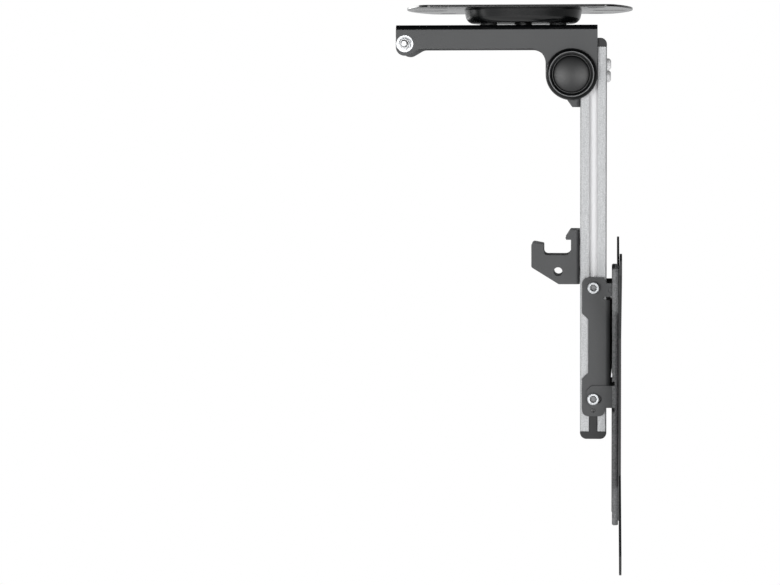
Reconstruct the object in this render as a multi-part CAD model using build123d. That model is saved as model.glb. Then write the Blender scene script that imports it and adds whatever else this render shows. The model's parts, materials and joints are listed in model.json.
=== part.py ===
from build123d import *
import os
from math import cos, radians, sin, sqrt

# A ceiling mount for a television that folds up flat. A pressed plate is screwed to the ceiling, a folded
# yoke swivels under it, and a slotted aluminium column hinges in the yoke and carries the screen bracket.
# The origin is the middle of the fixing slots on the plate's top face. +Z is up, and the screen faces +X.

# Clearances
face_gap = 0.2
slide_gap = 0.3
pin_gap = 0.08
hole_gap = 0.15

# Ceiling plate with its pressed dome
plate_length = 160.7
plate_width = 128.0
plate_sheet = 1.6
plate_end_bow = 15.0
plate_corner = 9.0
dome_radius = 42.5
dome_floor_radius = 40.0
dome_depth = 10.9
dome_edge = 5.6
corner_slot_margin_x = 25.85
corner_slot_margin_y = 14.0
corner_slot_length = 12.0
middle_slot_margin = 16.35
middle_slot_length = 24.0
ceiling_slot_width = 7.0

# Swivel
swivel_x = 2.3
swivel_gap = 1.6
swivel_turn = 40.0
swivel_bolt_radius = 4.0
swivel_head_height = 5.3
swivel_head_flats = 13.0
bearing_radius = 6.25
swivel_washer_radius = 8.5
swivel_washer_thickness = 1.6
swivel_nut_height = 8.0
guide_radius = 24.8
guide_stud_radius = 3.0
guide_collar_radius = 6.15
guide_nut_flats = 10.0
guide_flange_radius = 5.8
guide_nut_height = 5.0

# Yoke, a sheet folded to a U with L shaped sides
yoke_sheet = 2.5
yoke_bend = 3.8
yoke_arm_height = 16.7
yoke_leg_radius = 18.3
yoke_inner_corner = 10.3
hinge_ahead = 34.8
hinge_drop = 34.8
latch_reach = 117.6
latch_rise = 21.7
latch_end_margin = 6.4
latch_lobe_drop = 8.4
latch_lobe_ahead = 1.6
latch_lobe_slope = 8.4
hook_window_width = 30.0
hook_window_length = 21.5

# Latch bolt
latch_bolt_radius = 2.5
latch_flats = 8.0
latch_head_height = 3.5
latch_nut_height = 4.6
latch_washer_radius = 6.0
latch_washer_thickness = 1.0
bolt_end = 2.0

# Fold hinge
hinge_bolt_radius = 3.0
hinge_flats = 10.0
hinge_head_height = 4.0
hinge_nut_height = 5.0
friction_washer_radius = 12.5
friction_washer_thickness = 2.0
cover_radius = 18.1
cover_height = 7.5
cover_wall = 2.0
cover_ring_radius = 14.9
cover_ring_width = 0.8
cover_face_radius = 12.4
cover_face_rise = 1.7
cover_groove_depth = 1.4

# Column, a slotted extrusion
column_depth = 18.8
column_width = 42.0
column_wall = 2.0
column_corner = 1.2
column_rise = 19.3
column_length = 273.2
slot_mouth = 6.2
slot_cavity_width = 10.6
slot_cavity_depth = 3.4
hinge_to_column = 6.1
cap_top_height = 6.3
cap_bottom_height = 5.5
cap_rounding = 4.6
cap_peg_length = 9.0
cap_tongue_length = 11.0
cap_top_tongue_length = 34.0

# Knuckle that joins the column to the hinge
knuckle_sheet = 2.5
knuckle_bend = 3.2
knuckle_radius = 13.0
knuckle_tab_drop = 23.2
knuckle_tab_depth = 5.6
knuckle_screw_radius = 2.5
knuckle_screw_head_radius = 4.3
knuckle_screw_head_height = 3.0
knuckle_screw_rise = 7.0
knuckle_screw_drop = 1.2

# Hook bracket
hook_sheet = 2.2
hook_bend = 2.8
hook_width = 25.0
hook_top_drop = 110.5
hook_height = 38.9
hook_depth = 34.6
hook_lip_width = 8.8
hook_lip_drop = 9.6
hook_lip_slope = 1.7
hook_notch_drop = 18.1
hook_notch_corner = 2.9
hook_post_corner = 4.0
hook_post_depth = 6.3
hook_beak_reach = 4.0
hook_beak_drop = 5.6
hook_beak_thickness = 1.5
hook_chamfer_height = 12.1
hook_chamfer_depth = 19.5
hook_hole_radius = 3.1
hook_hole_inset = 15.5
hook_hole_rise = 9.0
hook_screw_inset = 8.7

# Height clamp on the column
clamp_sheet = 2.4
clamp_bend = 3.6
clamp_back_gap = 0.3
clamp_top_drop = 143.6
clamp_height = 99.1
clamp_front_inset = 1.4
clamp_waist_inset = 4.4
clamp_waist_top = 29.9
clamp_waist_bottom = 68.2
clamp_waist_slope = 4.3
clamp_corner = 4.6
clamp_upper_screw = 7.2
clamp_lower_screw = 86.1
clamp_neck_top = 4.2
clamp_neck_height = 9.6
clamp_relief_radius = 1.2
clamp_web_bottom = 80.0
clamp_pilot_radius = 1.4
clamp_pilot_drop = 8.9
clamp_screw_radius = 2.5
clamp_screw_head_radius = 4.2
clamp_screw_head_height = 4.6
clamp_screw_socket = 4.0
slot_nut_length = 10.0
slot_nut_thickness = 2.6

# Screen bracket
tilt_pin_radius = 2.0
tilt_pin_inset = 5.05
ear_slot_turn = 2.5
ear_rise = 1.2
channel_sheet = 2.0
channel_bend = 2.6
channel_depth = 4.4
channel_gap = 5.7
channel_top_rise = 6.3
channel_length = 183.2
channel_end_chamfer = 0.8
ear_reach = 18.0
ear_height = 15.8
ear_chamfer = 3.4
ear_relief_height = 3.0
ear_relief_depth = 1.9
screen_drop = 231.0
screen_plate_sheet = 1.6
screen_pattern = 200.0
screen_tip_margin = 9.0
screen_arm_width = 20.0
screen_body_size = 124.0
screen_body_corner = 10.0
screen_window_width = 40.0
screen_window_height = 42.0
screen_window_corner = 8.0
screen_large_hole_radius = 3.3
screen_small_hole_radius = 2.4
screen_small_patterns = (75.0, 100.0)
rivet_radius = 2.5
rivet_head_radius = 4.2
rivet_head_height = 1.6
rivet_spacing_y = 30.0
rivet_spacing_z = 86.0

# Places that follow from the sizes
dome_underside_z = -dome_depth
yoke_top_z = dome_underside_z - swivel_gap
yoke_web_z = yoke_top_z - yoke_sheet
hinge_x = swivel_x + hinge_ahead
hinge_z = yoke_top_z - hinge_drop
latch_x = hinge_x - latch_reach
latch_z = hinge_z + latch_rise
column_front_x = hinge_x + hinge_to_column
column_back_x = column_front_x + column_depth
column_middle_x = column_front_x + column_depth / 2
column_top_z = hinge_z + column_rise
column_bottom_z = column_top_z - column_length
yoke_inner = column_width + 2 * (friction_washer_thickness + face_gap)
yoke_width = yoke_inner + 2 * yoke_sheet
yoke_left_x = latch_x - latch_end_margin
yoke_right_x = hinge_x + yoke_leg_radius
clamp_inner = column_width + 2 * slide_gap
clamp_width = clamp_inner + 2 * clamp_sheet
clamp_back_x = column_back_x + clamp_back_gap + clamp_sheet
clamp_top_z = hinge_z - clamp_top_drop
clamp_bottom_z = clamp_top_z - clamp_height
clamp_upper_z = clamp_top_z - clamp_upper_screw
clamp_lower_z = clamp_top_z - clamp_lower_screw
channel_inner = clamp_width + 2 * slide_gap
channel_width = channel_inner + 2 * channel_sheet
channel_front_x = clamp_back_x + channel_gap
channel_web_x = channel_front_x - channel_sheet
channel_top_z = clamp_top_z + channel_top_rise
channel_bottom_z = channel_top_z - channel_length
tilt_x = channel_front_x - tilt_pin_inset
tilt_z = clamp_top_z - clamp_neck_top - clamp_neck_height / 2
screen_z = hinge_z - screen_drop
screen_face_x = channel_front_x + screen_plate_sheet
hook_right_x = column_front_x - slide_gap
hook_left_x = hook_right_x - hook_depth
hook_top_z = hinge_z - hook_top_drop
hook_bottom_z = hook_top_z - hook_height
chamber_width = (column_width - slot_cavity_width) / 2 - column_wall * 2 - slot_cavity_depth - 1.4
chamber_y = slot_cavity_width / 2 + 1.4 + chamber_width / 2


def slab_x(sketch, x_low, x_high):
    """Thickens a sketch of Y and Z between two values of X."""
    return extrude(Plane.YZ.offset(x_low) * sketch, x_high - x_low)


def slab_y(sketch, y_low, y_high):
    """Thickens a sketch of X and Z between two values of Y."""
    return extrude(Plane.XZ.offset(-y_high) * sketch, y_high - y_low)


def slab_z(sketch, z_low, z_high):
    """Thickens a sketch of X and Y between two values of Z."""
    return extrude(Plane.XY.offset(z_low) * sketch, z_high - z_low)


def both_sides(solid):
    """A piece and its mirror image across the middle plane."""
    return [solid, mirror(solid, about=Plane.XZ)]


def rounded(sketch, corners):
    """Rounds the corners named by place and radius."""
    for x, y, radius in corners:
        corner = sketch.vertices().sort_by_distance((x, y, 0))[0]
        sketch = fillet(corner, radius)
    return sketch


def bevelled(sketch, corners):
    """Cuts off the corners named by place and size."""
    for x, y, size in corners:
        corner = sketch.vertices().sort_by_distance((x, y, 0))[0]
        sketch = chamfer(corner, size)
    return sketch


def outline(points):
    """A filled outline through the points."""
    return make_face(Polyline(*points, close=True))


def hexagon(flats):
    """A hexagon by its size across flats."""
    return RegularPolygon(flats / sqrt(3), 6)


def u_section(width, depth, sheet, bend):
    """Section of a sheet folded to a U, its web along the top at zero."""
    outer = Pos(0, -depth / 2) * Rectangle(width, depth)
    outer = fillet(outer.vertices().group_by(Axis.Y)[-1], bend)
    inner = Pos(0, -depth / 2 - sheet) * Rectangle(width - 2 * sheet, depth)
    inner = fillet(inner.vertices().group_by(Axis.Y)[-1], bend - sheet)
    return outer - inner


def upright_u(width, depth, sheet, bend, web_x, z_low, z_high):
    """A folded U that runs along Z, its web on the +X side at web_x."""
    plane = Plane(origin=(web_x, 0, z_high), x_dir=(0, 1, 0), z_dir=(0, 0, -1))
    return extrude(plane * u_section(width, depth, sheet, bend), z_high - z_low)


def export(name, *solids):
    """Writes one sub-part, made of one solid or of several that lie apart."""
    shape = solids[0] if len(solids) == 1 else Compound(children=list(solids))
    shape.label = name
    export_step(shape, os.path.join("parts", name + ".step"))


def dome_form(top_radius, floor_radius, depth, edge):
    """Solid under the plate's top face that has the form of the pressed dome."""
    side = outline([(0, 0), (top_radius, 0), (floor_radius, -depth), (0, -depth)])
    side = rounded(side, [(floor_radius, -depth, edge)])
    return Pos(swivel_x, 0, 0) * revolve(Plane.XZ * side, Axis.Z)


def make_ceiling_plate():
    """Pressed sheet with bowed ends, a round dome and six fixing slots."""
    end_x = plate_length / 2
    side_x = end_x - plate_end_bow
    side_y = plate_width / 2
    lines = [
        Line((-side_x, -side_y), (side_x, -side_y)),
        ThreePointArc((side_x, -side_y), (end_x, 0), (side_x, side_y)),
        Line((side_x, side_y), (-side_x, side_y)),
        ThreePointArc((-side_x, side_y), (-end_x, 0), (-side_x, -side_y)),
    ]
    sheet = make_face(lines)
    sheet = fillet(sheet.vertices(), plate_corner)
    corner_slot = SlotOverall(corner_slot_length, ceiling_slot_width)
    middle_slot = SlotOverall(middle_slot_length, ceiling_slot_width)
    corner_spacing_x = plate_length - 2 * corner_slot_margin_x
    corner_spacing_y = plate_width - 2 * corner_slot_margin_y
    middle_spacing = plate_length - 2 * middle_slot_margin
    sheet -= GridLocations(corner_spacing_x, corner_spacing_y, 2, 2) * corner_slot
    sheet -= GridLocations(middle_spacing, 0, 2, 1) * middle_slot
    plate = slab_z(sheet, -plate_sheet, 0)
    outer = dome_form(dome_radius, dome_floor_radius, dome_depth, dome_edge)
    hollow = dome_form(
        dome_radius - plate_sheet, dome_floor_radius - plate_sheet, dome_depth - plate_sheet, dome_edge - plate_sheet
    )
    plate = plate + outer - hollow
    bolt_hole = Pos(swivel_x, 0) * Circle(swivel_bolt_radius + hole_gap)
    stud_holes = Pos(swivel_x, 0) * GridLocations(2 * guide_radius, 0, 2, 1) * Circle(guide_stud_radius + hole_gap)
    return plate - slab_z(Sketch() + bolt_hole + stud_holes, -dome_depth - 1, 0)


def make_swivel():
    """Swivel bolt, bearing disc, washer and nut, from the dome down."""
    centre = Pos(swivel_x, 0)
    floor_z = dome_underside_z + plate_sheet
    bearing_low = yoke_top_z + face_gap
    washer_top = yoke_web_z - face_gap
    nut_top = washer_top - swivel_washer_thickness
    nut_low = nut_top - swivel_nut_height
    shank = Circle(swivel_bolt_radius)
    bore = Circle(swivel_bolt_radius + hole_gap)
    head = slab_z(centre * hexagon(swivel_head_flats), floor_z, floor_z + swivel_head_height)
    bolt = head + slab_z(centre * shank, nut_low - bolt_end, floor_z)
    bearing = slab_z(centre * (Circle(bearing_radius) - bore), bearing_low, dome_underside_z)
    washer = slab_z(centre * (Circle(swivel_washer_radius) - bore), nut_top, washer_top)
    nut = slab_z(centre * (hexagon(swivel_head_flats) - bore), nut_low, nut_top)
    return bolt, bearing, washer, nut


def make_guides():
    """Two shouldered studs that run in the yoke's arc slots, and their flanged nuts."""
    studs = []
    nuts = []
    floor_z = dome_underside_z + plate_sheet
    flange = (swivel_washer_thickness + face_gap) / 1.5
    nut_top = yoke_web_z - face_gap
    nut_low = nut_top - guide_nut_height
    for side in (-1, 1):
        place = Pos(swivel_x + side * guide_radius, 0)
        stud = slab_z(place * Circle(guide_stud_radius), nut_low - bolt_end / 2, floor_z)
        stud += slab_z(place * Circle(guide_collar_radius), yoke_top_z + face_gap, dome_underside_z)
        studs.append(stud)
        bore = Circle(guide_stud_radius + hole_gap)
        nut = slab_z(place * (hexagon(guide_nut_flats) - bore), nut_low, nut_top - flange)
        nut += slab_z(place * (Circle(guide_flange_radius) - bore), nut_top - flange, nut_top)
        nuts.append(nut)
    return studs, nuts


def yoke_side():
    """Side outline of the yoke: a level arm with a lobe at the latch and a round leg at the hinge."""
    arm_z = yoke_top_z - yoke_arm_height
    lobe_z = latch_z - latch_lobe_drop
    lobe_end_x = latch_x + latch_lobe_ahead
    slope_x = lobe_end_x + latch_lobe_slope
    leg_x = hinge_x - yoke_leg_radius
    side = outline([
        (yoke_left_x, yoke_top_z),
        (yoke_right_x, yoke_top_z),
        (yoke_right_x, hinge_z),
        (leg_x, hinge_z),
        (leg_x, arm_z),
        (slope_x, arm_z),
        (lobe_end_x, lobe_z),
        (yoke_left_x, lobe_z),
    ])
    side = rounded(side, [
        (leg_x, arm_z, yoke_inner_corner),
        (slope_x, arm_z, latch_end_margin),
        (yoke_left_x, lobe_z, latch_end_margin * 0.95),
        (lobe_end_x, lobe_z, latch_end_margin * 0.75),
    ])
    side += Pos(hinge_x, hinge_z) * Circle(yoke_leg_radius)
    side -= Pos(latch_x, latch_z) * Circle(latch_bolt_radius + hole_gap)
    side -= Pos(hinge_x, hinge_z) * Circle(hinge_bolt_radius + hole_gap)
    return side


def make_yoke():
    """Folded yoke with two arc slots for the guide studs and a window that lets the hook rise."""
    depth = hinge_drop + yoke_leg_radius
    plane = Plane(origin=(yoke_left_x, 0, yoke_top_z), x_dir=(0, 1, 0), z_dir=(1, 0, 0))
    section = u_section(yoke_width, depth, yoke_sheet, yoke_bend)
    folded = extrude(plane * section, yoke_right_x - yoke_left_x)
    yoke = folded & slab_y(yoke_side(), -yoke_width / 2, yoke_width / 2)
    cuts = Pos(swivel_x, 0) * Circle(swivel_bolt_radius + pin_gap)
    for start in (-swivel_turn, 180 - swivel_turn):
        arc = CenterArc((swivel_x, 0), guide_radius, start, 2 * swivel_turn)
        cuts += SlotArc(arc, 2 * (guide_stud_radius + slide_gap))
    window = Pos(yoke_left_x, 0) * Rectangle(2 * hook_window_length, hook_window_width)
    cuts += fillet(window.vertices(), yoke_bend)
    return yoke - slab_z(cuts, yoke_web_z, yoke_top_z)


def make_latch_bolt():
    """Bolt across the yoke's far end, with a nut on the near side and a washer on each."""
    place = Pos(latch_x, latch_z)
    wall_y = yoke_width / 2
    washer_y = wall_y + latch_washer_thickness
    nut_y = washer_y + latch_nut_height
    bore = Circle(latch_bolt_radius + hole_gap)
    head = slab_y(place * hexagon(latch_flats), washer_y, washer_y + latch_head_height)
    bolt = head + slab_y(place * Circle(latch_bolt_radius), -nut_y - bolt_end, washer_y)
    nut = slab_y(place * (hexagon(latch_flats) - bore), -nut_y, -washer_y)
    washer = slab_y(place * (Circle(latch_washer_radius) - bore), wall_y, washer_y)
    return bolt, nut, both_sides(washer)


def make_hinge_bolt():
    """Fold axis: bolt, nut and a friction washer against each wall of the yoke."""
    place = Pos(hinge_x, hinge_z)
    wall_y = yoke_width / 2
    bore = Circle(hinge_bolt_radius + hole_gap)
    head = slab_y(place * hexagon(hinge_flats), wall_y, wall_y + hinge_head_height)
    end_y = wall_y + hinge_nut_height
    bolt = head + slab_y(place * Circle(hinge_bolt_radius), -end_y, wall_y)
    nut = slab_y(place * (hexagon(hinge_flats) - bore), -end_y, -wall_y)
    inner_y = yoke_inner / 2
    ring = Circle(friction_washer_radius) - bore
    washer = slab_y(place * ring, inner_y - friction_washer_thickness, inner_y)
    return bolt, nut, both_sides(washer)


def make_hinge_cover():
    """Moulded round cover with a raised ring, a grooved border and a gently domed face, hollow over the nut."""
    top = cover_height
    ring_out = cover_ring_radius + cover_ring_width / 2
    ring_in = cover_ring_radius - cover_ring_width / 2
    groove = top - cover_groove_depth
    shoulder = (cover_radius, top * 0.45)
    border_in = cover_face_radius + 0.5
    border_out = cover_face_radius + 1.0
    lines = [
        Polyline((0, 0), (cover_radius, 0), shoulder),
        ThreePointArc(shoulder, (cover_radius - 0.8, top * 0.78), (ring_out, top - 0.4)),
        Polyline((ring_out, top - 0.4), (ring_out - 0.1, top), (ring_in + 0.1, top), (ring_in, groove),
                 (border_out, groove), (border_out, groove + 0.5), (border_in, groove + 0.5), (border_in, groove),
                 (cover_face_radius, groove)),
        Spline((cover_face_radius, groove), (cover_face_radius / 2, groove + cover_face_rise * 0.75),
               (0, groove + cover_face_rise), tangents=((-1, cover_face_rise / cover_groove_depth / 4), (-1, 0))),
        Line((0, groove + cover_face_rise), (0, 0)),
    ]
    shell = revolve(Plane.XZ * make_face(lines), Axis.Z)
    cavity_height = groove - cover_wall / 2
    cavity = slab_z(Circle(cover_radius - 2 * cover_wall), 0, cavity_height)
    grip = slab_z(Circle(hinge_flats / sqrt(3) + cover_wall) - hexagon(hinge_flats + 2 * hole_gap), 0, cavity_height)
    place = Plane(origin=(hinge_x, yoke_width / 2, hinge_z), x_dir=(1, 0, 0), z_dir=(0, 1, 0))
    return place * (shell - cavity + grip)


def make_knuckle():
    """Folded bracket: its web is screwed to the column, and its cheeks turn on the hinge bolt."""
    low_z = hinge_z - knuckle_tab_drop
    top_z = hinge_z + knuckle_radius
    lobe = Pos(hinge_x, hinge_z) * Circle(knuckle_radius)
    spine = Pos(column_front_x - knuckle_tab_depth / 2, (low_z + top_z) / 2) * Rectangle(
        knuckle_tab_depth, top_z - low_z
    )
    side = make_hull((lobe.edges() + spine.edges()))
    side = side & (Pos(column_front_x - 50, hinge_z) * Rectangle(100, 200))
    side -= Pos(hinge_x, hinge_z) * Circle(hinge_bolt_radius + pin_gap)
    depth = column_front_x - hinge_x + knuckle_radius
    folded = upright_u(column_width, depth, knuckle_sheet, knuckle_bend, column_front_x, low_z, top_z)
    knuckle = folded & slab_y(side, -column_width / 2, column_width / 2)
    return knuckle - knuckle_screw_bores(hole_gap)


def knuckle_screw_places():
    """The two screws, one above the other and on opposite sides of the middle."""
    return ((-chamber_y, hinge_z + knuckle_screw_rise), (chamber_y, hinge_z - knuckle_screw_drop))


def knuckle_screw_bores(gap):
    """Round bores through the column and the knuckle's web for its two screws."""
    bores = Part()
    for y, z in knuckle_screw_places():
        circle = Pos(y, z) * Circle(knuckle_screw_radius + gap)
        bores += slab_x(circle, column_front_x - knuckle_sheet - 1, column_back_x + 1)
    return bores


def make_knuckle_screws():
    """Round-headed screws that pass through the column into the knuckle."""
    screws = []
    tip_x = column_front_x - knuckle_sheet
    for y, z in knuckle_screw_places():
        shank = slab_x(Pos(y, z) * Circle(knuckle_screw_radius), tip_x, column_back_x)
        rise = knuckle_screw_head_height
        dome = fillet_top(slab_x(Pos(y, z) * Circle(knuckle_screw_head_radius), column_back_x, column_back_x + rise))
        socket = slab_x(Pos(y, z) * hexagon(3.0), column_back_x + rise / 2, column_back_x + rise)
        screws.append(shank + dome - socket)
    return screws


def fillet_top(head):
    """Rounds the outer edge of a screw head that points to +X."""
    return fillet(head.edges().sort_by(Axis.X)[-1], knuckle_screw_head_height * 0.75)


def column_section():
    """Section of the extrusion: a T slot in each of its four sides and two hollow chambers."""
    body = fillet(Rectangle(column_depth, column_width).vertices(), column_corner)
    cavity_middle = column_wall + slot_cavity_depth / 2
    for side in (-1, 1):
        mouth_y = side * (column_width / 2 - column_wall / 2)
        body -= Pos(0, mouth_y) * Rectangle(slot_mouth, column_wall)
        body -= Pos(0, side * (column_width / 2 - cavity_middle)) * Rectangle(slot_cavity_width, slot_cavity_depth)
        mouth_x = side * (column_depth / 2 - column_wall / 2)
        body -= Pos(mouth_x, 0) * Rectangle(column_wall, slot_mouth)
        body -= Pos(side * (column_depth / 2 - cavity_middle), 0) * Rectangle(slot_cavity_depth, slot_cavity_width)
        body -= Pos(0, side * chamber_y) * Rectangle(column_depth - 2 * column_wall, chamber_width)
    return body


def make_column():
    """Slotted aluminium extrusion, bored for the knuckle's screws."""
    column = slab_z(Pos(column_middle_x, 0) * column_section(), column_bottom_z, column_top_z)
    return column - knuckle_screw_bores(hole_gap)


def cap_plug(z_low, z_high):
    """Pegs that hold an end cap in the column's two hollow chambers."""
    peg = Rectangle(column_depth - 2 * column_wall - 2 * hole_gap, chamber_width - 2 * hole_gap)
    pegs = Sketch() + GridLocations(0, 2 * chamber_y, 1, 2) * peg
    return slab_z(Pos(column_middle_x, 0) * pegs, z_low, z_high)


def cap_side(z_join, z_end):
    """Side outline of an end cap, rounded at its outer end."""
    height = abs(z_end - z_join)
    block = Pos(column_middle_x, (z_join + z_end) / 2) * Rectangle(column_depth, height)
    places = [(column_front_x, z_end, cap_rounding), (column_back_x, z_end, cap_rounding)]
    return rounded(block, places)


def cap_tongues(z_low, z_high):
    """A cap's tongues, which close the ends of the column's two side slots."""
    tongue = Pos(column_middle_x, column_width / 2 - column_wall / 2) * Rectangle(
        slot_mouth - 2 * hole_gap, column_wall
    )
    near, far = both_sides(slab_z(tongue, z_low, z_high))
    return near + far


def make_caps():
    """Plastic caps on the two ends of the column, with pegs in its chambers and tongues in its side slots."""
    half = column_width / 2
    top_z = column_top_z + cap_top_height
    low_z = column_bottom_z - cap_bottom_height
    top = slab_y(cap_side(column_top_z, top_z), -half, half)
    top += cap_plug(column_top_z - cap_peg_length, column_top_z)
    top += cap_tongues(column_top_z - cap_top_tongue_length, column_top_z)
    bottom = slab_y(cap_side(column_bottom_z, low_z), -half, half)
    bottom += cap_plug(column_bottom_z, column_bottom_z + cap_peg_length)
    bottom += cap_tongues(column_bottom_z, column_bottom_z + cap_tongue_length)
    return top, bottom


def hook_side():
    """Side outline of the hook bracket: a lip, a notch for the latch bolt and a beak over it."""
    lip_z = hook_top_z - hook_lip_drop
    lip_x = hook_left_x + hook_lip_width
    post_x = hook_right_x - hook_post_depth
    notch_z = hook_top_z - hook_notch_drop
    beak_z = hook_top_z - hook_beak_drop
    under_z = beak_z - hook_beak_thickness
    chamfer_z = hook_bottom_z + hook_chamfer_height
    side = outline([
        (hook_right_x, hook_top_z),
        (post_x - 0.4, hook_top_z),
        (post_x - hook_beak_reach, beak_z),
        (post_x - hook_beak_reach + 0.6, under_z),
        (post_x, under_z),
        (post_x, notch_z),
        (lip_x, notch_z),
        (lip_x, lip_z - hook_lip_slope / 2),
        (hook_left_x, lip_z + hook_lip_slope / 2),
        (hook_left_x, chamfer_z),
        (hook_left_x + hook_chamfer_depth, hook_bottom_z),
        (hook_right_x, hook_bottom_z),
    ])
    side = rounded(side, [
        (post_x - 0.4, hook_top_z, 1.0),
        (post_x, notch_z, hook_post_corner),
        (lip_x, notch_z, hook_notch_corner),
        (lip_x, lip_z - hook_lip_slope / 2, 1.0),
        (hook_left_x, lip_z + hook_lip_slope / 2, 2.0),
        (hook_left_x, chamfer_z, 1.5),
        (hook_left_x + hook_chamfer_depth, hook_bottom_z, 1.5),
    ])
    hole = Pos(hook_right_x - hook_hole_inset, hook_bottom_z + hook_hole_rise) * Circle(hook_hole_radius)
    return side - hole


def hook_screw_heights():
    """Heights of the two screws in the hook's web."""
    return (hook_top_z - hook_screw_inset, hook_bottom_z + hook_screw_inset)


def make_hook():
    """Folded hook bracket with two screws in its web and their nuts in the column's front slot."""
    web_x = hook_right_x - hook_sheet
    folded = upright_u(hook_width, hook_depth, hook_sheet, hook_bend, hook_right_x, hook_bottom_z, hook_top_z)
    bracket = folded & slab_y(hook_side(), -hook_width / 2, hook_width / 2)
    screws = []
    nuts = []
    head_height = 2.6
    nut_x = column_front_x + column_wall + slide_gap
    for z in hook_screw_heights():
        place = Pos(0, z)
        bracket -= slab_x(place * Circle(clamp_screw_radius + hole_gap), web_x - 1, hook_right_x + 1)
        head = slab_x(place * Circle(clamp_screw_head_radius), web_x - head_height, web_x)
        head -= slab_x(place * hexagon(3.0), web_x - head_height, web_x - head_height / 2)
        tip_x = nut_x + slot_nut_thickness
        screws.append(head + slab_x(place * Circle(clamp_screw_radius), web_x, tip_x))
        block = Rectangle(slot_cavity_width - 2 * slide_gap, slot_nut_length) - Circle(clamp_screw_radius + hole_gap)
        nuts.append(slab_x(place * block, nut_x, tip_x))
    return bracket, screws, nuts


def clamp_side():
    """Side outline of the clamp's cheek: waisted in front, with a neck that reaches to the tilt pin."""
    front_x = column_front_x + clamp_front_inset
    waist_x = front_x + clamp_waist_inset
    edge_x = clamp_back_x - clamp_bend
    neck_x = channel_web_x - slide_gap - face_gap
    neck_top_z = clamp_top_z - clamp_neck_top
    neck_low_z = neck_top_z - clamp_neck_height
    waist_top_z = clamp_top_z - clamp_waist_top
    waist_low_z = clamp_top_z - clamp_waist_bottom
    side = outline([
        (front_x, clamp_top_z),
        (edge_x - 0.8, clamp_top_z),
        (edge_x + 0.8, neck_top_z),
        (neck_x, neck_top_z),
        (neck_x, neck_low_z),
        (edge_x, neck_low_z),
        (edge_x, clamp_bottom_z),
        (front_x, clamp_bottom_z),
        (front_x, waist_low_z - clamp_waist_slope),
        (waist_x, waist_low_z),
        (waist_x, waist_top_z),
        (front_x, waist_top_z + clamp_waist_slope),
    ])
    side = rounded(side, [
        (front_x, clamp_top_z, clamp_corner),
        (neck_x, neck_top_z, clamp_relief_radius),
        (neck_x, neck_low_z, clamp_relief_radius),
        (edge_x, clamp_bottom_z, clamp_corner),
        (front_x, clamp_bottom_z, clamp_corner),
    ])
    side -= Pos(edge_x, neck_low_z - clamp_relief_radius) * Circle(clamp_relief_radius)
    for z in (clamp_upper_z, clamp_lower_z):
        side -= Pos(column_middle_x, z) * Circle(clamp_screw_radius + hole_gap)
    side -= Pos(column_middle_x, clamp_lower_z - clamp_pilot_drop) * Circle(clamp_pilot_radius)
    return side - Pos(tilt_x, tilt_z) * Circle(tilt_pin_radius + hole_gap)


def make_clamp():
    """Folded clamp round the back of the column: two flat cheeks and a web between them."""
    web_top_z = clamp_top_z - clamp_neck_top - clamp_neck_height - 2 * clamp_relief_radius
    web_low_z = clamp_top_z - clamp_web_bottom
    depth = clamp_bend + clamp_back_gap
    web = upright_u(clamp_width, depth, clamp_sheet, clamp_bend, clamp_back_x, web_low_z, web_top_z)
    cheek = slab_y(clamp_side(), clamp_inner / 2, clamp_width / 2)
    for side in both_sides(cheek):
        web += side
    return web


def clamp_screw(z, seat_y):
    """Socket screw in the near or far cheek, its head on the face at seat_y."""
    place = Pos(column_middle_x, z)
    tip_y = column_width / 2 - column_wall - slide_gap - slot_nut_thickness
    top_y = seat_y + clamp_screw_head_height
    head = slab_y(place * Circle(clamp_screw_head_radius), seat_y, top_y)
    head = chamfer(head.edges().sort_by(Axis.Y)[-1], 0.4)
    socket = slab_y(place * hexagon(clamp_screw_socket), top_y - clamp_screw_head_height / 2, top_y)
    return head + slab_y(place * Circle(clamp_screw_radius), tip_y, seat_y) - socket


def make_slot_nuts():
    """Four nuts in the column's side slots, one for each clamp screw."""
    nuts = []
    high_y = column_width / 2 - column_wall - slide_gap
    for z in (clamp_upper_z, clamp_lower_z):
        block = Rectangle(slot_cavity_width - 2 * slide_gap, slot_nut_length) - Circle(clamp_screw_radius + hole_gap)
        nuts += both_sides(slab_y(Pos(column_middle_x, z) * block, high_y - slot_nut_thickness, high_y))
    return nuts


def tilt_turned(x, z, angle):
    """Where a point of the clamp lies on the screen bracket once that has tilted by the angle."""
    dx = x - tilt_x
    dz = z - tilt_z
    turn = radians(angle)
    return tilt_x + dx * cos(turn) - dz * sin(turn), tilt_z + dx * sin(turn) + dz * cos(turn)


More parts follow.
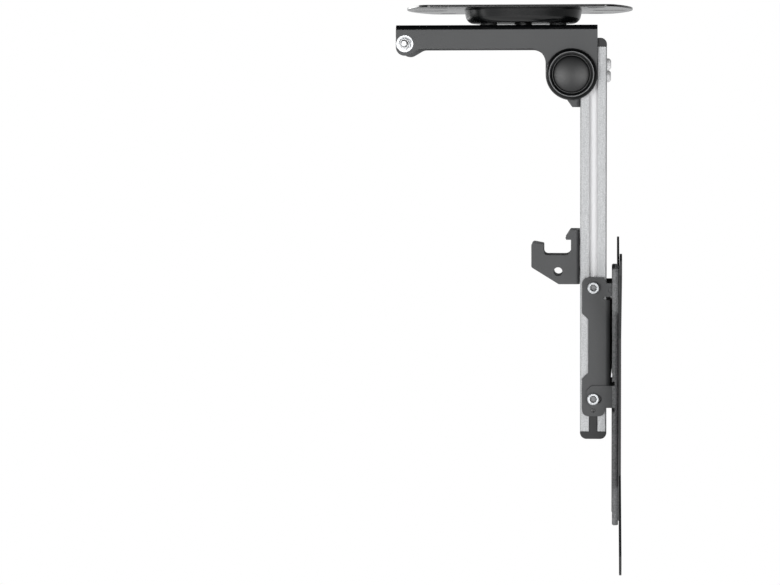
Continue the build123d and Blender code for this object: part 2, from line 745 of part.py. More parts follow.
def make_screen_channel():
    """Shallow channel behind the screen plate, with a slotted ear on each side and two hinge tabs."""
    section = (channel_width, channel_depth, channel_sheet, channel_bend, channel_front_x)
    channel = upright_u(*section, channel_bottom_z, channel_top_z)
    flange_x = channel_front_x - channel_depth
    side = Pos(channel_front_x - channel_depth / 2, (channel_top_z + channel_bottom_z) / 2) * Rectangle(
        channel_depth, channel_length
    )
    side = bevelled(side, [
        (flange_x, channel_top_z, channel_end_chamfer), (flange_x, channel_bottom_z, channel_end_chamfer)
    ])
    channel = channel & slab_y(side, -channel_width / 2, channel_width / 2)
    ear_x = flange_x - ear_reach
    ear_z = clamp_lower_z + ear_rise
    ear = Pos((ear_x + channel_web_x) / 2, ear_z) * Rectangle(channel_web_x - ear_x, ear_height)
    ear = bevelled(ear, [
        (ear_x, ear_z + ear_height / 2, ear_chamfer), (ear_x, ear_z - ear_height / 2, ear_chamfer)
    ])
    slot_end = tilt_turned(column_middle_x, clamp_lower_z, ear_slot_turn)
    slot_radius = clamp_screw_radius + slide_gap
    slot = Pos(column_middle_x, clamp_lower_z) * Circle(slot_radius)
    slot = make_hull((slot + Pos(*slot_end) * Circle(slot_radius)).edges())
    ear = slab_y(ear - slot, channel_inner / 2, channel_width / 2)
    for rise in (1, -1):
        relief_z = ear_z + rise * (ear_height + ear_relief_height) / 2
        relief = Pos(flange_x + ear_relief_depth / 2, relief_z) * Rectangle(ear_relief_depth, ear_relief_height)
        channel -= slab_y(relief, -channel_width / 2, channel_width / 2)
    tab_out = clamp_inner / 2 - slide_gap
    tab_x = column_back_x + slide_gap + face_gap
    tab_height = clamp_neck_height - 2 * clamp_relief_radius
    tab = Pos((tab_x + channel_web_x) / 2, tilt_z) * Rectangle(channel_web_x - tab_x, tab_height)
    tab = rounded(tab, [(tab_x, tilt_z + tab_height / 2, 2.0), (tab_x, tilt_z - tab_height / 2, 2.0)])
    tab -= Pos(tilt_x, tilt_z) * Circle(tilt_pin_radius + pin_gap)
    tab = slab_y(tab, tab_out - channel_sheet, tab_out)
    window = Pos(tab_out - channel_sheet - 3.2, tilt_z) * Rectangle(6.4, tab_height)
    window = slab_x(window, channel_web_x - 1, channel_front_x + 1)
    for piece in both_sides(window):
        channel -= piece
    for piece in both_sides(ear) + both_sides(tab):
        channel += piece
    return channel - rivet_bores()


def rivet_places():
    """Middles of the four rivets across and up the screen plate."""
    return GridLocations(rivet_spacing_y, rivet_spacing_z, 2, 2)


def rivet_bores():
    """Round holes for the rivets through the channel and the plate."""
    circles = Sketch() + rivet_places() * Circle(rivet_radius + hole_gap)
    return slab_x(Pos(0, screen_z) * circles, channel_web_x - 1, screen_face_x + 1)


def make_rivets():
    """Rivets with a low head in the channel, flush with the screen plate."""
    rivets = []
    for place in rivet_places():
        spot = Pos(0, screen_z) * place
        head = slab_x(spot * Circle(rivet_head_radius), channel_web_x - rivet_head_height, channel_web_x)
        rivets.append(head + slab_x(spot * Circle(rivet_radius), channel_web_x, screen_face_x))
    return rivets


def make_screen_plate():
    """X shaped plate: four arms for the large hole pattern and a body with the two small ones."""
    arm_length = (screen_pattern / 2) * sqrt(2) * 2 + screen_arm_width
    arm = SlotOverall(arm_length, screen_arm_width)
    tips = screen_pattern + 2 * screen_tip_margin
    sheet = fillet(Rectangle(screen_body_size, screen_body_size).vertices(), screen_body_corner)
    sheet += Rot(0, 0, 45) * arm
    sheet += Rot(0, 0, -45) * arm
    sheet = sheet & Rectangle(tips, tips)
    window = fillet(Rectangle(screen_window_width, screen_window_height).vertices(), screen_window_corner)
    sheet -= window
    sheet -= GridLocations(screen_pattern, screen_pattern, 2, 2) * Circle(screen_large_hole_radius)
    for spacing in screen_small_patterns:
        sheet -= GridLocations(spacing, spacing, 2, 2) * Circle(screen_small_hole_radius)
    plate = slab_x(Pos(0, screen_z) * sheet, channel_front_x, screen_face_x)
    return plate - rivet_bores()


def make_tilt_pins():
    """Flush pins on which the screen bracket tilts."""
    pin = Pos(tilt_x, tilt_z) * Circle(tilt_pin_radius)
    return both_sides(slab_y(pin, clamp_inner / 2 - slide_gap - channel_sheet, clamp_width / 2))


os.makedirs("parts", exist_ok=True)

export("ceiling_plate", make_ceiling_plate())
swivel_bolt, swivel_bearing, swivel_washer, swivel_nut = make_swivel()
export("swivel_bolt", swivel_bolt)
export("swivel_bearing", swivel_bearing)
export("swivel_washer", swivel_washer)
export("swivel_nut", swivel_nut)
guide_studs, guide_nuts = make_guides()
export("guide_studs", *guide_studs)
export("guide_nuts", *guide_nuts)

export("yoke", make_yoke())
latch_bolt, latch_nut, latch_washers = make_latch_bolt()
export("latch_bolt", latch_bolt)
export("latch_nut", latch_nut)
export("latch_washers", *latch_washers)
hinge_bolt, hinge_nut, friction_washers = make_hinge_bolt()
export("hinge_bolt", hinge_bolt)
export("hinge_nut", hinge_nut)
export("friction_washers", *friction_washers)
cover_far = make_hinge_cover()
export("hinge_cover_far", cover_far)
export("hinge_cover_near", mirror(cover_far, about=Plane.XZ))

export("knuckle", make_knuckle())
export("knuckle_screws", *make_knuckle_screws())
export("column", make_column())
cap_top, cap_bottom = make_caps()
export("column_cap_top", cap_top)
export("column_cap_bottom", cap_bottom)

hook_bracket, hook_screws, hook_slot_nuts = make_hook()
export("hook_bracket", hook_bracket)
export("hook_screws", *hook_screws)
export("hook_slot_nuts", *hook_slot_nuts)

export("carriage", make_clamp())
export("upper_clamp_screws", *both_sides(clamp_screw(clamp_upper_z, clamp_width / 2)))
export("lower_clamp_screws", *both_sides(clamp_screw(clamp_lower_z, channel_width / 2 + face_gap)))
export("slot_nuts", *make_slot_nuts())
export("tilt_pins", *make_tilt_pins())

export("vesa_channel", make_screen_channel())
export("vesa_plate", make_screen_plate())
export("channel_rivets", *make_rivets())
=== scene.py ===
import json
import math
import bmesh
import bpy
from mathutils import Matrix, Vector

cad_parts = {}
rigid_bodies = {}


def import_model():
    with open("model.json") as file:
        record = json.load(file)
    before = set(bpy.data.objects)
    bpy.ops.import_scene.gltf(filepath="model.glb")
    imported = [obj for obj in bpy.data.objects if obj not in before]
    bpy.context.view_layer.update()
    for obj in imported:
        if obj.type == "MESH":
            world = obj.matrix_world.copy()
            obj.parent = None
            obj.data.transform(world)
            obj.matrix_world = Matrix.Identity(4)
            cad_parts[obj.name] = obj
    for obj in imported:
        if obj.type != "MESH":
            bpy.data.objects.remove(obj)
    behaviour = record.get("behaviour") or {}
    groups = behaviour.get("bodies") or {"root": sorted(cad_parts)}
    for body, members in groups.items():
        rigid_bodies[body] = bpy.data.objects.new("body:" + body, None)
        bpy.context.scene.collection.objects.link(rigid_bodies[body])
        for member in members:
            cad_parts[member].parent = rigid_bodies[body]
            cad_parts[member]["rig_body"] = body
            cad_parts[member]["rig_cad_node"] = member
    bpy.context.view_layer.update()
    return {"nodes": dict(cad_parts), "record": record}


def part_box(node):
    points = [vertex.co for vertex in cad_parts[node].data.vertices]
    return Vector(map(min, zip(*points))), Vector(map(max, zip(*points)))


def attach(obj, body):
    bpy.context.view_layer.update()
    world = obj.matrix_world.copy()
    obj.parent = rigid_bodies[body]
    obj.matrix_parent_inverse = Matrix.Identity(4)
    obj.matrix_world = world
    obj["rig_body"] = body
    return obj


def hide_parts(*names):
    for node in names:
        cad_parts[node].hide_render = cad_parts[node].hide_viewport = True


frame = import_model()
nodes = frame["nodes"]

# Eased edges in metres, and the turns between faces that count as sharp, smooth or flat
MM = 0.001
SHEET_EDGE = 0.28 * MM
PLASTIC_EDGE = 0.45 * MM
EXTRUSION_EDGE = 0.55 * MM
HARDWARE_EDGE = 0.18 * MM
NUT_EDGE = 0.3 * MM
RIB_EDGE = 0.35 * MM
MERGE_GAP = 0.02 * MM
SHARP_TURN = math.radians(32)
SMOOTH_TURN = math.radians(35)
FLAT_TURN = math.radians(0.6)
THREAD_TURN = math.radians(50)

# Clamp screws, latch bolt and lock nut, in millimetres
HEX_SOCKET_FLATS = 3.6
HEX_SOCKET_DEPTH = 2.6
SOCKET_LEAD = 0.4
HEAD_RADIUS = 4.2
HEAD_HEIGHT = 4.6
HEAD_CHAMFER = 0.45
HEAD_SIDES = 72
KNURL_DEPTH = 0.12
KNURL_REACH = 0.05
SCREW_RADIUS = 2.5
SCREW_LENGTH = 10.0
LATCH_FLATS = 8.0
LATCH_HEAD_HEIGHT = 3.5
LATCH_NUT_HEX = 3.1
LATCH_NUT_COLLAR = 3.6
COLLAR_ROOT = 1.0
CROWN_HEIGHT = 0.45
CROWN_INSET = 0.4
NYLON_WALL = 0.65
NYLON_DEPTH = 0.5
NYLON_GAP = 0.05
NYLON_RISE = 0.15
BOLT_GAP = 0.1
BOLT_TIP = 0.5
BOLT_TIP_INSET = 0.8
BOLT_SIDES = 40
THREAD_PITCH = 0.8
THREAD_DEPTH = 0.32
THREAD_LENGTH = 9.0
CUT_OVERRUN = 1.0

# The yoke's top and bends, whose faces point up by more than this share, take a smoother coat painted near
# black: painted shade where the light leaves them dark
SHADED_TOP_SHARE = 0.12

# Hinge cover's profile from rim to middle, as radius and height, and the radii of its ring line, which is
# painted grey as a highlight and beyond which the rim is painted darker as shade, in millimetres
COVER_PROFILE = (
    (18.1, 0.0), (18.1, 1.9), (17.95, 3.3), (17.6, 4.6), (17.1, 5.6), (16.6, 6.3), (16.25, 6.9),
    (16.05, 7.35),
    (15.9, 7.45), (15.25, 7.45), (15.05, 7.2), (14.1, 6.45), (13.85, 5.2), (13.5, 6.4),
    (13.05, 6.4), (12.75, 4.9), (12.3, 6.0), (11.8, 6.22), (10.4, 6.55), (8.4, 6.9), (6.3, 7.17), (4.2, 7.35),
    (2.1, 7.46), (0.3, 7.5),
)
COVER_PAINTED_RING = (15.2, 15.95)
COVER_SIDES = 128

# Rib on the clamp's web, a dark sheet that fills the see-through gap to the channel where there is only
# shade, drawn in below its shoulder to clear the tilted channel, in metres
RIB_PROUD = 1.1 * MM
RIB_SINK = 0.3 * MM
RIB_WIDTH = 20.0 * MM
RIB_TOP = -0.2075
RIB_BOTTOM = -0.2680
RIB_TAPER = (1.0, 0.72, 1.0)
RIB_SHOULDER = -0.2565
RIB_LEAN = 0.65 * MM
CLAMP_WEB_BACK = 0.0647

# Where the channel's smooth ears start, and where the upper cap's tongue ends in the column, in metres
CHANNEL_EARS = 0.0661
CAP_TONGUE_END = -0.0510

# Real sizes of the finishes' patterns, in metres. Sand and tumbling grit are drawn coarser, to show
CLOUD_SIZE = 45 * MM
PEEL_SIZE = 0.6 * MM
GLOSS_PEEL_SIZE = 0.9 * MM
SAND_SIZE = 1.1 * MM
DRAWN_LINE_SIZE = 0.35 * MM
TUMBLED_GRIT_SIZE = 0.8 * MM
ZINC_CLOUD_SIZE = 1.2 * MM
MOULD_GRAIN_SIZE = 0.8 * MM
CAP_GRAIN_SIZE = 0.5 * MM
INSERT_GRAIN_SIZE = 0.4 * MM
LINE_STRETCH = 0.02
# Share of the column's half width over which the painted light in its slots fades into the outer skin
SLOT_LIGHT_REACH = (0.86, 0.94)

# Camera, matched to the photograph
CAMERA_PLACE = (0.0550047, -1.6090278, -0.0687577)
CAMERA_TURN = (1.504580, 0.001940, 0.050433)
CAMERA_LENS = 103.4385
CAMERA_SHIFT = (-0.12, -0.05)
IMAGE_WIDTH = 36.0

# Room light, darker overhead and to the right
ROOM_LIGHT = 0.35
CANOPY_FADE = {"From Min": -0.05, "From Max": 0.45, "To Min": 0.86, "To Max": 0.04}
FLAG_FADE = {"From Min": 0.1, "From Max": 0.8, "To Min": 1.0, "To Max": 0.42}

# Soft square lamps as name, place, size in metres and power in watts, all aimed at one point
LAMP_AIM = (0.0, 0.0, -0.17)
LAMPS = (
    ("left_front_softbox", (-0.60, -2.03, -0.12), 0.6, 18.0),
    ("right_front_softbox", (0.60, -2.03, -0.12), 0.6, 14.0),
    ("left_softbox", (-2.0, 0.3, -0.3), 1.2, 5.0),
    ("back_softbox", (-1.2, 1.7, 0.4), 0.9, 13.0),
)

# Floor under the mount, in metres
FLOOR_Z = -0.80
FLOOR_SIZE = 3.0


def linear(code):
    """Turns an sRGB hex colour into linear red, green, blue and alpha."""
    values = []
    for start in (0, 2, 4):
        value = int(code[start:start + 2], 16) / 255
        values.append(value / 12.92 if value <= 0.04045 else ((value + 0.055) / 1.055) ** 2.4)
    return (*values, 1.0)


def add_node(tree, kind, settings=None, links=None):
    """Adds one node with its settings, and links its inputs to the sockets given."""
    node = tree.nodes.new(kind)
    for key, value in (settings or {}).items():
        if key == "stops":
            elements = node.color_ramp.elements
            for element, (position, code) in zip(elements, value):
                element.position = position
                element.color = linear(code)
        elif isinstance(key, int) or key in node.inputs:
            node.inputs[key].default_value = value
        else:
            setattr(node, key, value)
    for key, socket in (links or {}).items():
        tree.links.new(socket, node.inputs[key])
    return node


def new_material(name):
    """An empty material with its shader and object coordinates."""
    material = bpy.data.materials.new(name)
    material.use_nodes = True
    tree = material.node_tree
    tree.nodes.clear()
    output = add_node(tree, "ShaderNodeOutputMaterial")
    shader = add_node(tree, "ShaderNodeBsdfPrincipled")
    tree.links.new(shader.outputs[0], output.inputs["Surface"])
    place = add_node(tree, "ShaderNodeTexCoord").outputs["Object"]
    return material, tree, shader, place


def grains(size):
    """Noise scale that gives grains of a real size in metres."""
    return 1.0 / size


def around(rough, spread):
    """Range of a surface's roughness about its middle value."""
    return {"To Min": rough - spread, "To Max": rough + spread}


def powder_coat(name, dark, light, rough, grain, depth, share=0.35):
    """Powder-coated steel: baked polyester over sheet. Gives a soft sheen with a fine orange-peel grain."""
    material, tree, shader, place = new_material(name)
    clouds = add_node(tree, "ShaderNodeTexNoise", {"Scale": grains(CLOUD_SIZE), "Detail": 1.0},
                      {"Vector": place})
    peel = add_node(tree, "ShaderNodeTexNoise", {"Scale": grains(grain), "Detail": 2.0}, {"Vector": place})
    blend = add_node(tree, "ShaderNodeMix", {"data_type": "FLOAT", "Factor": share},
                     {"A": clouds.outputs["Fac"], "B": peel.outputs["Fac"]}).outputs["Result"]
    colour = add_node(tree, "ShaderNodeValToRGB", {"stops": ((0.34, dark), (0.66, light))}, {0: blend})
    sheen = add_node(tree, "ShaderNodeMapRange", around(rough, 0.05), {"Value": peel.outputs["Fac"]})
    bump = add_node(tree, "ShaderNodeBump", {"Strength": 0.35, "Distance": depth},
                    {"Height": peel.outputs["Fac"]})
    tree.links.new(colour.outputs["Color"], shader.inputs["Base Color"])
    tree.links.new(sheen.outputs["Result"], shader.inputs["Roughness"])
    tree.links.new(bump.outputs["Normal"], shader.inputs["Normal"])
    shader.inputs["IOR"].default_value = 1.5
    shader.inputs["Specular IOR Level"].default_value = 0.4
    return material


def extruded_aluminium(name, box):
    """Clear anodised extrusion: a grainy tumbled outer skin, its slots and hollows painted brighter, painted
    light that makes up for their shade.
    """
    material, tree, shader, place = new_material(name)
    stretch = add_node(tree, "ShaderNodeMapping", {"Scale": (1.0, 1.0, LINE_STRETCH)}, {"Vector": place})
    lines = add_node(tree, "ShaderNodeTexNoise", {"Scale": grains(DRAWN_LINE_SIZE), "Detail": 2.0},
                     {"Vector": stretch.outputs["Vector"]})
    grit = add_node(tree, "ShaderNodeTexNoise", {"Scale": grains(TUMBLED_GRIT_SIZE), "Detail": 3.0},
                    {"Vector": place})
    blend = add_node(tree, "ShaderNodeMix", {"data_type": "FLOAT", "Factor": 0.6},
                     {"A": lines.outputs["Fac"], "B": grit.outputs["Fac"]}).outputs["Result"]
    low, high = box
    middle = (low.x + high.x) / 2
    spot = add_node(tree, "ShaderNodeSeparateXYZ", links={0: place})
    across = add_node(tree, "ShaderNodeMath", {"operation": "SUBTRACT", 1: middle}, {0: spot.outputs["X"]})
    depth_x = add_node(tree, "ShaderNodeMath", {"operation": "ABSOLUTE"}, {0: across.outputs[0]})
    reach_x = add_node(tree, "ShaderNodeMath", {"operation": "DIVIDE", 1: high.x - middle},
                       {0: depth_x.outputs[0]})
    depth_y = add_node(tree, "ShaderNodeMath", {"operation": "ABSOLUTE"}, {0: spot.outputs["Y"]})
    reach_y = add_node(tree, "ShaderNodeMath", {"operation": "DIVIDE", 1: high.y}, {0: depth_y.outputs[0]})
    reach = add_node(tree, "ShaderNodeMath", {"operation": "MAXIMUM"},
                     {0: reach_x.outputs[0], 1: reach_y.outputs[0]})
    # Painted light: the slots and hollows are coloured brighter than the outer skin, against their shade
    slot_light_fade = add_node(tree, "ShaderNodeMapRange", {"From Min": SLOT_LIGHT_REACH[0], "From Max": SLOT_LIGHT_REACH[1]},
                    {"Value": reach.outputs[0]})
    outer = add_node(tree, "ShaderNodeValToRGB", {"stops": ((0.32, "9c9d9e"), (0.68, "cfd0d1"))}, {0: blend})
    slot_painted_light = add_node(tree, "ShaderNodeValToRGB", {"stops": ((0.3, "d3d3d4"), (0.7, "dfdfe0"))}, {0: blend})
    colour = add_node(tree, "ShaderNodeMix", {"data_type": "RGBA"},
                      {0: slot_light_fade.outputs["Result"], 6: slot_painted_light.outputs["Color"], 7: outer.outputs["Color"]})
    sheen = add_node(tree, "ShaderNodeMapRange", {"To Min": 0.6, "To Max": 0.78}, {"Value": blend})
    bump = add_node(tree, "ShaderNodeBump", {"Strength": 0.25, "Distance": 0.03 * MM}, {"Height": blend})
    tree.links.new(colour.outputs[2], shader.inputs["Base Color"])
    tree.links.new(sheen.outputs["Result"], shader.inputs["Roughness"])
    tree.links.new(bump.outputs["Normal"], shader.inputs["Normal"])
    shader.inputs["Metallic"].default_value = 1.0
    return material


def zinc_plate(name, dark, light, rough):
    """Zinc-plated steel: cold-headed and turned hardware with faint cloudy passivation."""
    material, tree, shader, place = new_material(name)
    clouds = add_node(tree, "ShaderNodeTexNoise", {"Scale": grains(ZINC_CLOUD_SIZE), "Detail": 4.0},
                      {"Vector": place})
    colour = add_node(tree, "ShaderNodeValToRGB", {"stops": ((0.35, dark), (0.65, light))},
                      {0: clouds.outputs["Fac"]})
    sheen = add_node(tree, "ShaderNodeMapRange", around(rough, 0.08), {"Value": clouds.outputs["Fac"]})
    tree.links.new(colour.outputs["Color"], shader.inputs["Base Color"])
    tree.links.new(sheen.outputs["Result"], shader.inputs["Roughness"])
    shader.inputs["Metallic"].default_value = 1.0
    return material


def moulded_plastic(name, dark, light, rough, grain, depth, shine=0.36):
    """Moulded nylon: spark-eroded mould grain, which breaks up its sheen."""
    material, tree, shader, place = new_material(name)
    grit = add_node(tree, "ShaderNodeTexNoise", {"Scale": grains(grain), "Detail": 3.0}, {"Vector": place})
    colour = add_node(tree, "ShaderNodeValToRGB", {"stops": ((0.35, dark), (0.65, light))},
                      {0: grit.outputs["Fac"]})
    sheen = add_node(tree, "ShaderNodeMapRange", around(rough, 0.05), {"Value": grit.outputs["Fac"]})
    bump = add_node(tree, "ShaderNodeBump", {"Strength": 0.3, "Distance": depth},
                    {"Height": grit.outputs["Fac"]})
    tree.links.new(colour.outputs["Color"], shader.inputs["Base Color"])
    tree.links.new(sheen.outputs["Result"], shader.inputs["Roughness"])
    tree.links.new(bump.outputs["Normal"], shader.inputs["Normal"])
    shader.inputs["IOR"].default_value = 1.53
    shader.inputs["Specular IOR Level"].default_value = shine
    return material


finishes = {
    # Smooth near-black coat on the ceiling plate, which mirrors the dark canopy; on the yoke's top and bends
    # its near-black colour is painted shade
    "gloss_black_steel": powder_coat("gloss_black_powder_coat_and_painted_shade", "060708", "0a0b0c", 0.22,
                                     GLOSS_PEEL_SIZE, 0.012 * MM),
    # Satin coat on the folded sheet, dark grey under soft light
    "black_steel": powder_coat("fine_black_powder_coat", "3f4041", "48494a", 0.5, PEEL_SIZE, 0.02 * MM),
    # Sandy coat on the channel's flanges, speckled light and dark
    "sanded_steel": powder_coat("sand_textured_powder_coat", "5a5b5c", "848586", 0.55,
                                SAND_SIZE, 0.05 * MM, 0.7),
    # Darker coat on the screen plate, faintly speckled
    "plate_steel": powder_coat("dark_powder_coat", "141516", "262728", 0.55, GLOSS_PEEL_SIZE, 0.03 * MM, 0.6),
    # Bright plating on bolts, nuts and washers
    "zinc_steel": zinc_plate("bright_zinc_plate", "b0b2b4", "cfd0d2", 0.5),
    # Duller plating with visible clouds on the clamp's screw heads
    "screw_steel": zinc_plate("tumbled_zinc_plate", "a2a4a6", "d6d8da", 0.6),
    # Plating painted nearly white on the knuckle's round heads: painted light where they mirror the dark
    # surroundings
    "painted_light_screw_steel": zinc_plate("zinc_plate_painted_light", "f0f0f1", "fafafa", 0.84),
    # Painted shade in a forged socket: its walls coloured dark and its floor mid grey, as the shade in the
    # recess
    "painted_shade_socket_wall": zinc_plate("zinc_socket_painted_shade", "262627", "363637", 0.6),
    "painted_shade_socket_floor": zinc_plate("zinc_socket_floor_painted_shade", "8a8b8c", "a6a7a8", 0.7),
    # Semi-gloss mould face on the hinge covers, its matt rim painted darker as shade, and its ring line
    # painted lighter grey as a highlight
    "black_plastic": moulded_plastic("gloss_moulded_nylon", "0b0c0d", "111213", 0.37,
                                     MOULD_GRAIN_SIZE, 0.01 * MM),
    "rim_plastic_painted_shade": moulded_plastic("spark_eroded_nylon_rim_painted_shade", "050606", "090a0b", 0.5,
                                   CAP_GRAIN_SIZE, 0.01 * MM, 0.1),
    "painted_highlight_ring": moulded_plastic("grey_nylon_painted_highlight", "646566", "707172", 0.45, MOULD_GRAIN_SIZE, 0.005 * MM),
    # Matt grain on the column's end caps
    "cap_plastic": moulded_plastic("matt_moulded_nylon", "1c1d1e", "252627", 0.55, CAP_GRAIN_SIZE, 0.02 * MM),
    # Uncoloured insert of the lock nut, milky white
    "white_nylon": moulded_plastic("natural_nylon_insert", "c8c8c4", "dadad6", 0.5,
                                   INSERT_GRAIN_SIZE, 0.01 * MM),
    "anodised_aluminium": extruded_aluminium("clear_anodised_extrusion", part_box("column")),
}
slots = {row["node"]: row["material_slot"] for row in frame["record"]["subparts"]}
bodies = {node: body for body, row in frame["record"]["behaviour"]["bodies"].items() for node in row}


def give_finish(piece, finish):
    """Puts one finish on all of a piece."""
    piece.data.materials.clear()
    piece.data.materials.append(finishes[finish])


def only(piece):
    """Selects one piece and makes it active."""
    bpy.ops.object.select_all(action="DESELECT")
    piece.select_set(True)
    bpy.context.view_layer.objects.active = piece


def add_modifier(piece, kind, **settings):
    """Adds a modifier with its settings and applies it."""
    modifier = piece.modifiers.new(kind.lower(), kind)
    for key, value in settings.items():
        setattr(modifier, key, value)
    only(piece)
    bpy.ops.object.modifier_apply(modifier=modifier.name)


def declare(piece, name, body, slot, *replaced):
    """Names a finished piece and says what it rides on and the CAD nodes it stands in for. Its slot argument
    is not used.
    """
    piece.name = name
    piece.data.name = name
    only(piece)
    bpy.ops.object.shade_smooth_by_angle(angle=SMOOTH_TURN)
    add_modifier(piece, "WEIGHTED_NORMAL", keep_sharp=True, weight=100)
    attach(piece, body)
    if replaced:
        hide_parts(*replaced)


def eased(node, edge):
    """Copies a CAD node, cleans its mesh and eases its sharp edges, then stands in for it."""
    piece = nodes[node].copy()
    piece.data = nodes[node].data.copy()
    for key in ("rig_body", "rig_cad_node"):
        if key in piece:
            del piece[key]
    piece.parent = None
    bpy.context.scene.collection.objects.link(piece)
    only(piece)
    bpy.ops.object.mode_set(mode="EDIT")
    bpy.ops.mesh.select_all(action="SELECT")
    bpy.ops.mesh.remove_doubles(threshold=MERGE_GAP)
    bpy.ops.mesh.customdata_custom_splitnormals_clear()
    bpy.ops.mesh.dissolve_limited(angle_limit=FLAT_TURN)
    bpy.ops.object.mode_set(mode="OBJECT")
    add_modifier(piece, "BEVEL", width=edge, segments=2, limit_method="ANGLE", angle_limit=SHARP_TURN,
                 use_clamp_overlap=True, harden_normals=False)
    give_finish(piece, slots[node])
    declare(piece, node + "_eased", bodies[node], slots[node], node)
    return piece


def turned(rings, sides=64):
    """Turns a closed piece: a filled circle is raised ring by ring, by radius and height in millimetres."""
    bpy.ops.object.select_all(action="DESELECT")
    radius, height = rings[0]
    bpy.ops.mesh.primitive_circle_add(vertices=sides, radius=radius * MM, fill_type="NGON",
                                      location=(0, 0, height * MM))
    piece = bpy.context.active_object
    bpy.ops.object.transform_apply(location=True, rotation=False, scale=False)
    bpy.ops.object.mode_set(mode="EDIT")
    bpy.ops.mesh.select_all(action="SELECT")
    for new_radius, new_height in rings[1:]:
        bpy.ops.mesh.extrude_region_move(TRANSFORM_OT_translate={"value": (0, 0, (new_height - height) * MM)})
        bpy.ops.transform.resize(value=(new_radius / radius, new_radius / radius, 1))
        radius, height = new_radius, new_height
    bpy.ops.mesh.select_all(action="SELECT")
    bpy.ops.mesh.normals_make_consistent(inside=False)
    bpy.ops.object.mode_set(mode="OBJECT")
    return piece


def hexagonal(flats, low, high):
    """A hexagonal prism by its size across flats and its two heights in millimetres."""
    bpy.ops.object.select_all(action="DESELECT")
    bpy.ops.mesh.primitive_cylinder_add(vertices=6, radius=flats / math.sqrt(3) * MM, depth=(high - low) * MM,
                                        location=(0, 0, (low + high) / 2 * MM))
    piece = bpy.context.active_object
    bpy.ops.object.transform_apply(location=True, rotation=False, scale=False)
    return piece


def combine(piece, tool, operation):
    """Joins a tool to a piece, or cuts the piece with it, and takes the tool away."""
    add_modifier(piece, "BOOLEAN", object=tool, operation=operation, solver="EXACT")
    bpy.data.objects.remove(tool)


def seat(piece, x, y, z, side):
    """Turns a piece's upward axis to the near or far side and sets it down at its place."""
    only(piece)
    piece.rotation_euler = (-side * math.pi / 2, 0, 0)
    piece.location = (x, y, z)
    bpy.ops.object.transform_apply(location=True, rotation=True, scale=False)


def copied(piece):
    """A copy of a piece with its own mesh."""
    twin = piece.copy()
    twin.data = piece.data.copy()
    bpy.context.scene.collection.objects.link(twin)
    return twin


def make_socket_screw():
    """Socket cap screw, seated at zero: knurled head, chamfered rim and a hexagonal socket."""
    rim = HEAD_RADIUS - HEAD_CHAMFER
    mouth = HEX_SOCKET_FLATS / math.sqrt(3) + SOCKET_LEAD
    screw = turned((
        (SCREW_RADIUS, -SCREW_LENGTH), (SCREW_RADIUS, 0), (HEAD_RADIUS, 0),
        (HEAD_RADIUS, HEAD_HEIGHT - HEAD_CHAMFER), (rim, HEAD_HEIGHT), (mouth, HEAD_HEIGHT),
        (mouth - SOCKET_LEAD, HEAD_HEIGHT - SOCKET_LEAD),
    ), HEAD_SIDES)
    knurl = bmesh.new()
    knurl.from_mesh(screw.data)
    for vertex in knurl.verts:
        radius = math.hypot(vertex.co.x, vertex.co.y)
        step = round(math.atan2(vertex.co.y, vertex.co.x) / (math.tau / HEAD_SIDES))
        if radius > (HEAD_RADIUS - KNURL_REACH) * MM and step % 2:
            vertex.co.xy *= 1 - KNURL_DEPTH / HEAD_RADIUS
    knurl.to_mesh(screw.data)
    knurl.free()
    socket = hexagonal(HEX_SOCKET_FLATS, HEAD_HEIGHT - HEX_SOCKET_DEPTH, HEAD_HEIGHT + CUT_OVERRUN)
    combine(screw, socket, "DIFFERENCE")
    give_finish(screw, "screw_steel")
    screw.data.materials.append(finishes["painted_shade_socket_wall"])
    screw.data.materials.append(finishes["painted_shade_socket_floor"])
    # Painted shade: the socket's walls and floor take the darker zinc
    for face in screw.data.polygons:
        if math.hypot(face.center.x, face.center.y) < mouth * MM and face.center.z > 0:
            face.material_index = 2 if face.normal.z > 0.9 else 1
    return screw


def make_clamp_screws():
    """Two screws in each cheek of the clamp, all copies of one."""
    pattern = make_socket_screw()
    for node in ("upper_clamp_screws", "lower_clamp_screws"):
        low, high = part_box(node)
        x = (low.x + high.x) / 2
        z = (low.z + high.z) / 2
        pair = []
        for side in (-1, 1):
            screw = copied(pattern)
            seat(screw, x, side * (high.y - HEAD_HEIGHT * MM), z, side)
            pair.append(screw)
        only(pair[0])
        pair[1].select_set(True)
        bpy.ops.object.join()
        declare(pair[0], node + "_turned", bodies[node], slots[node], node)
    bpy.data.objects.remove(pattern)


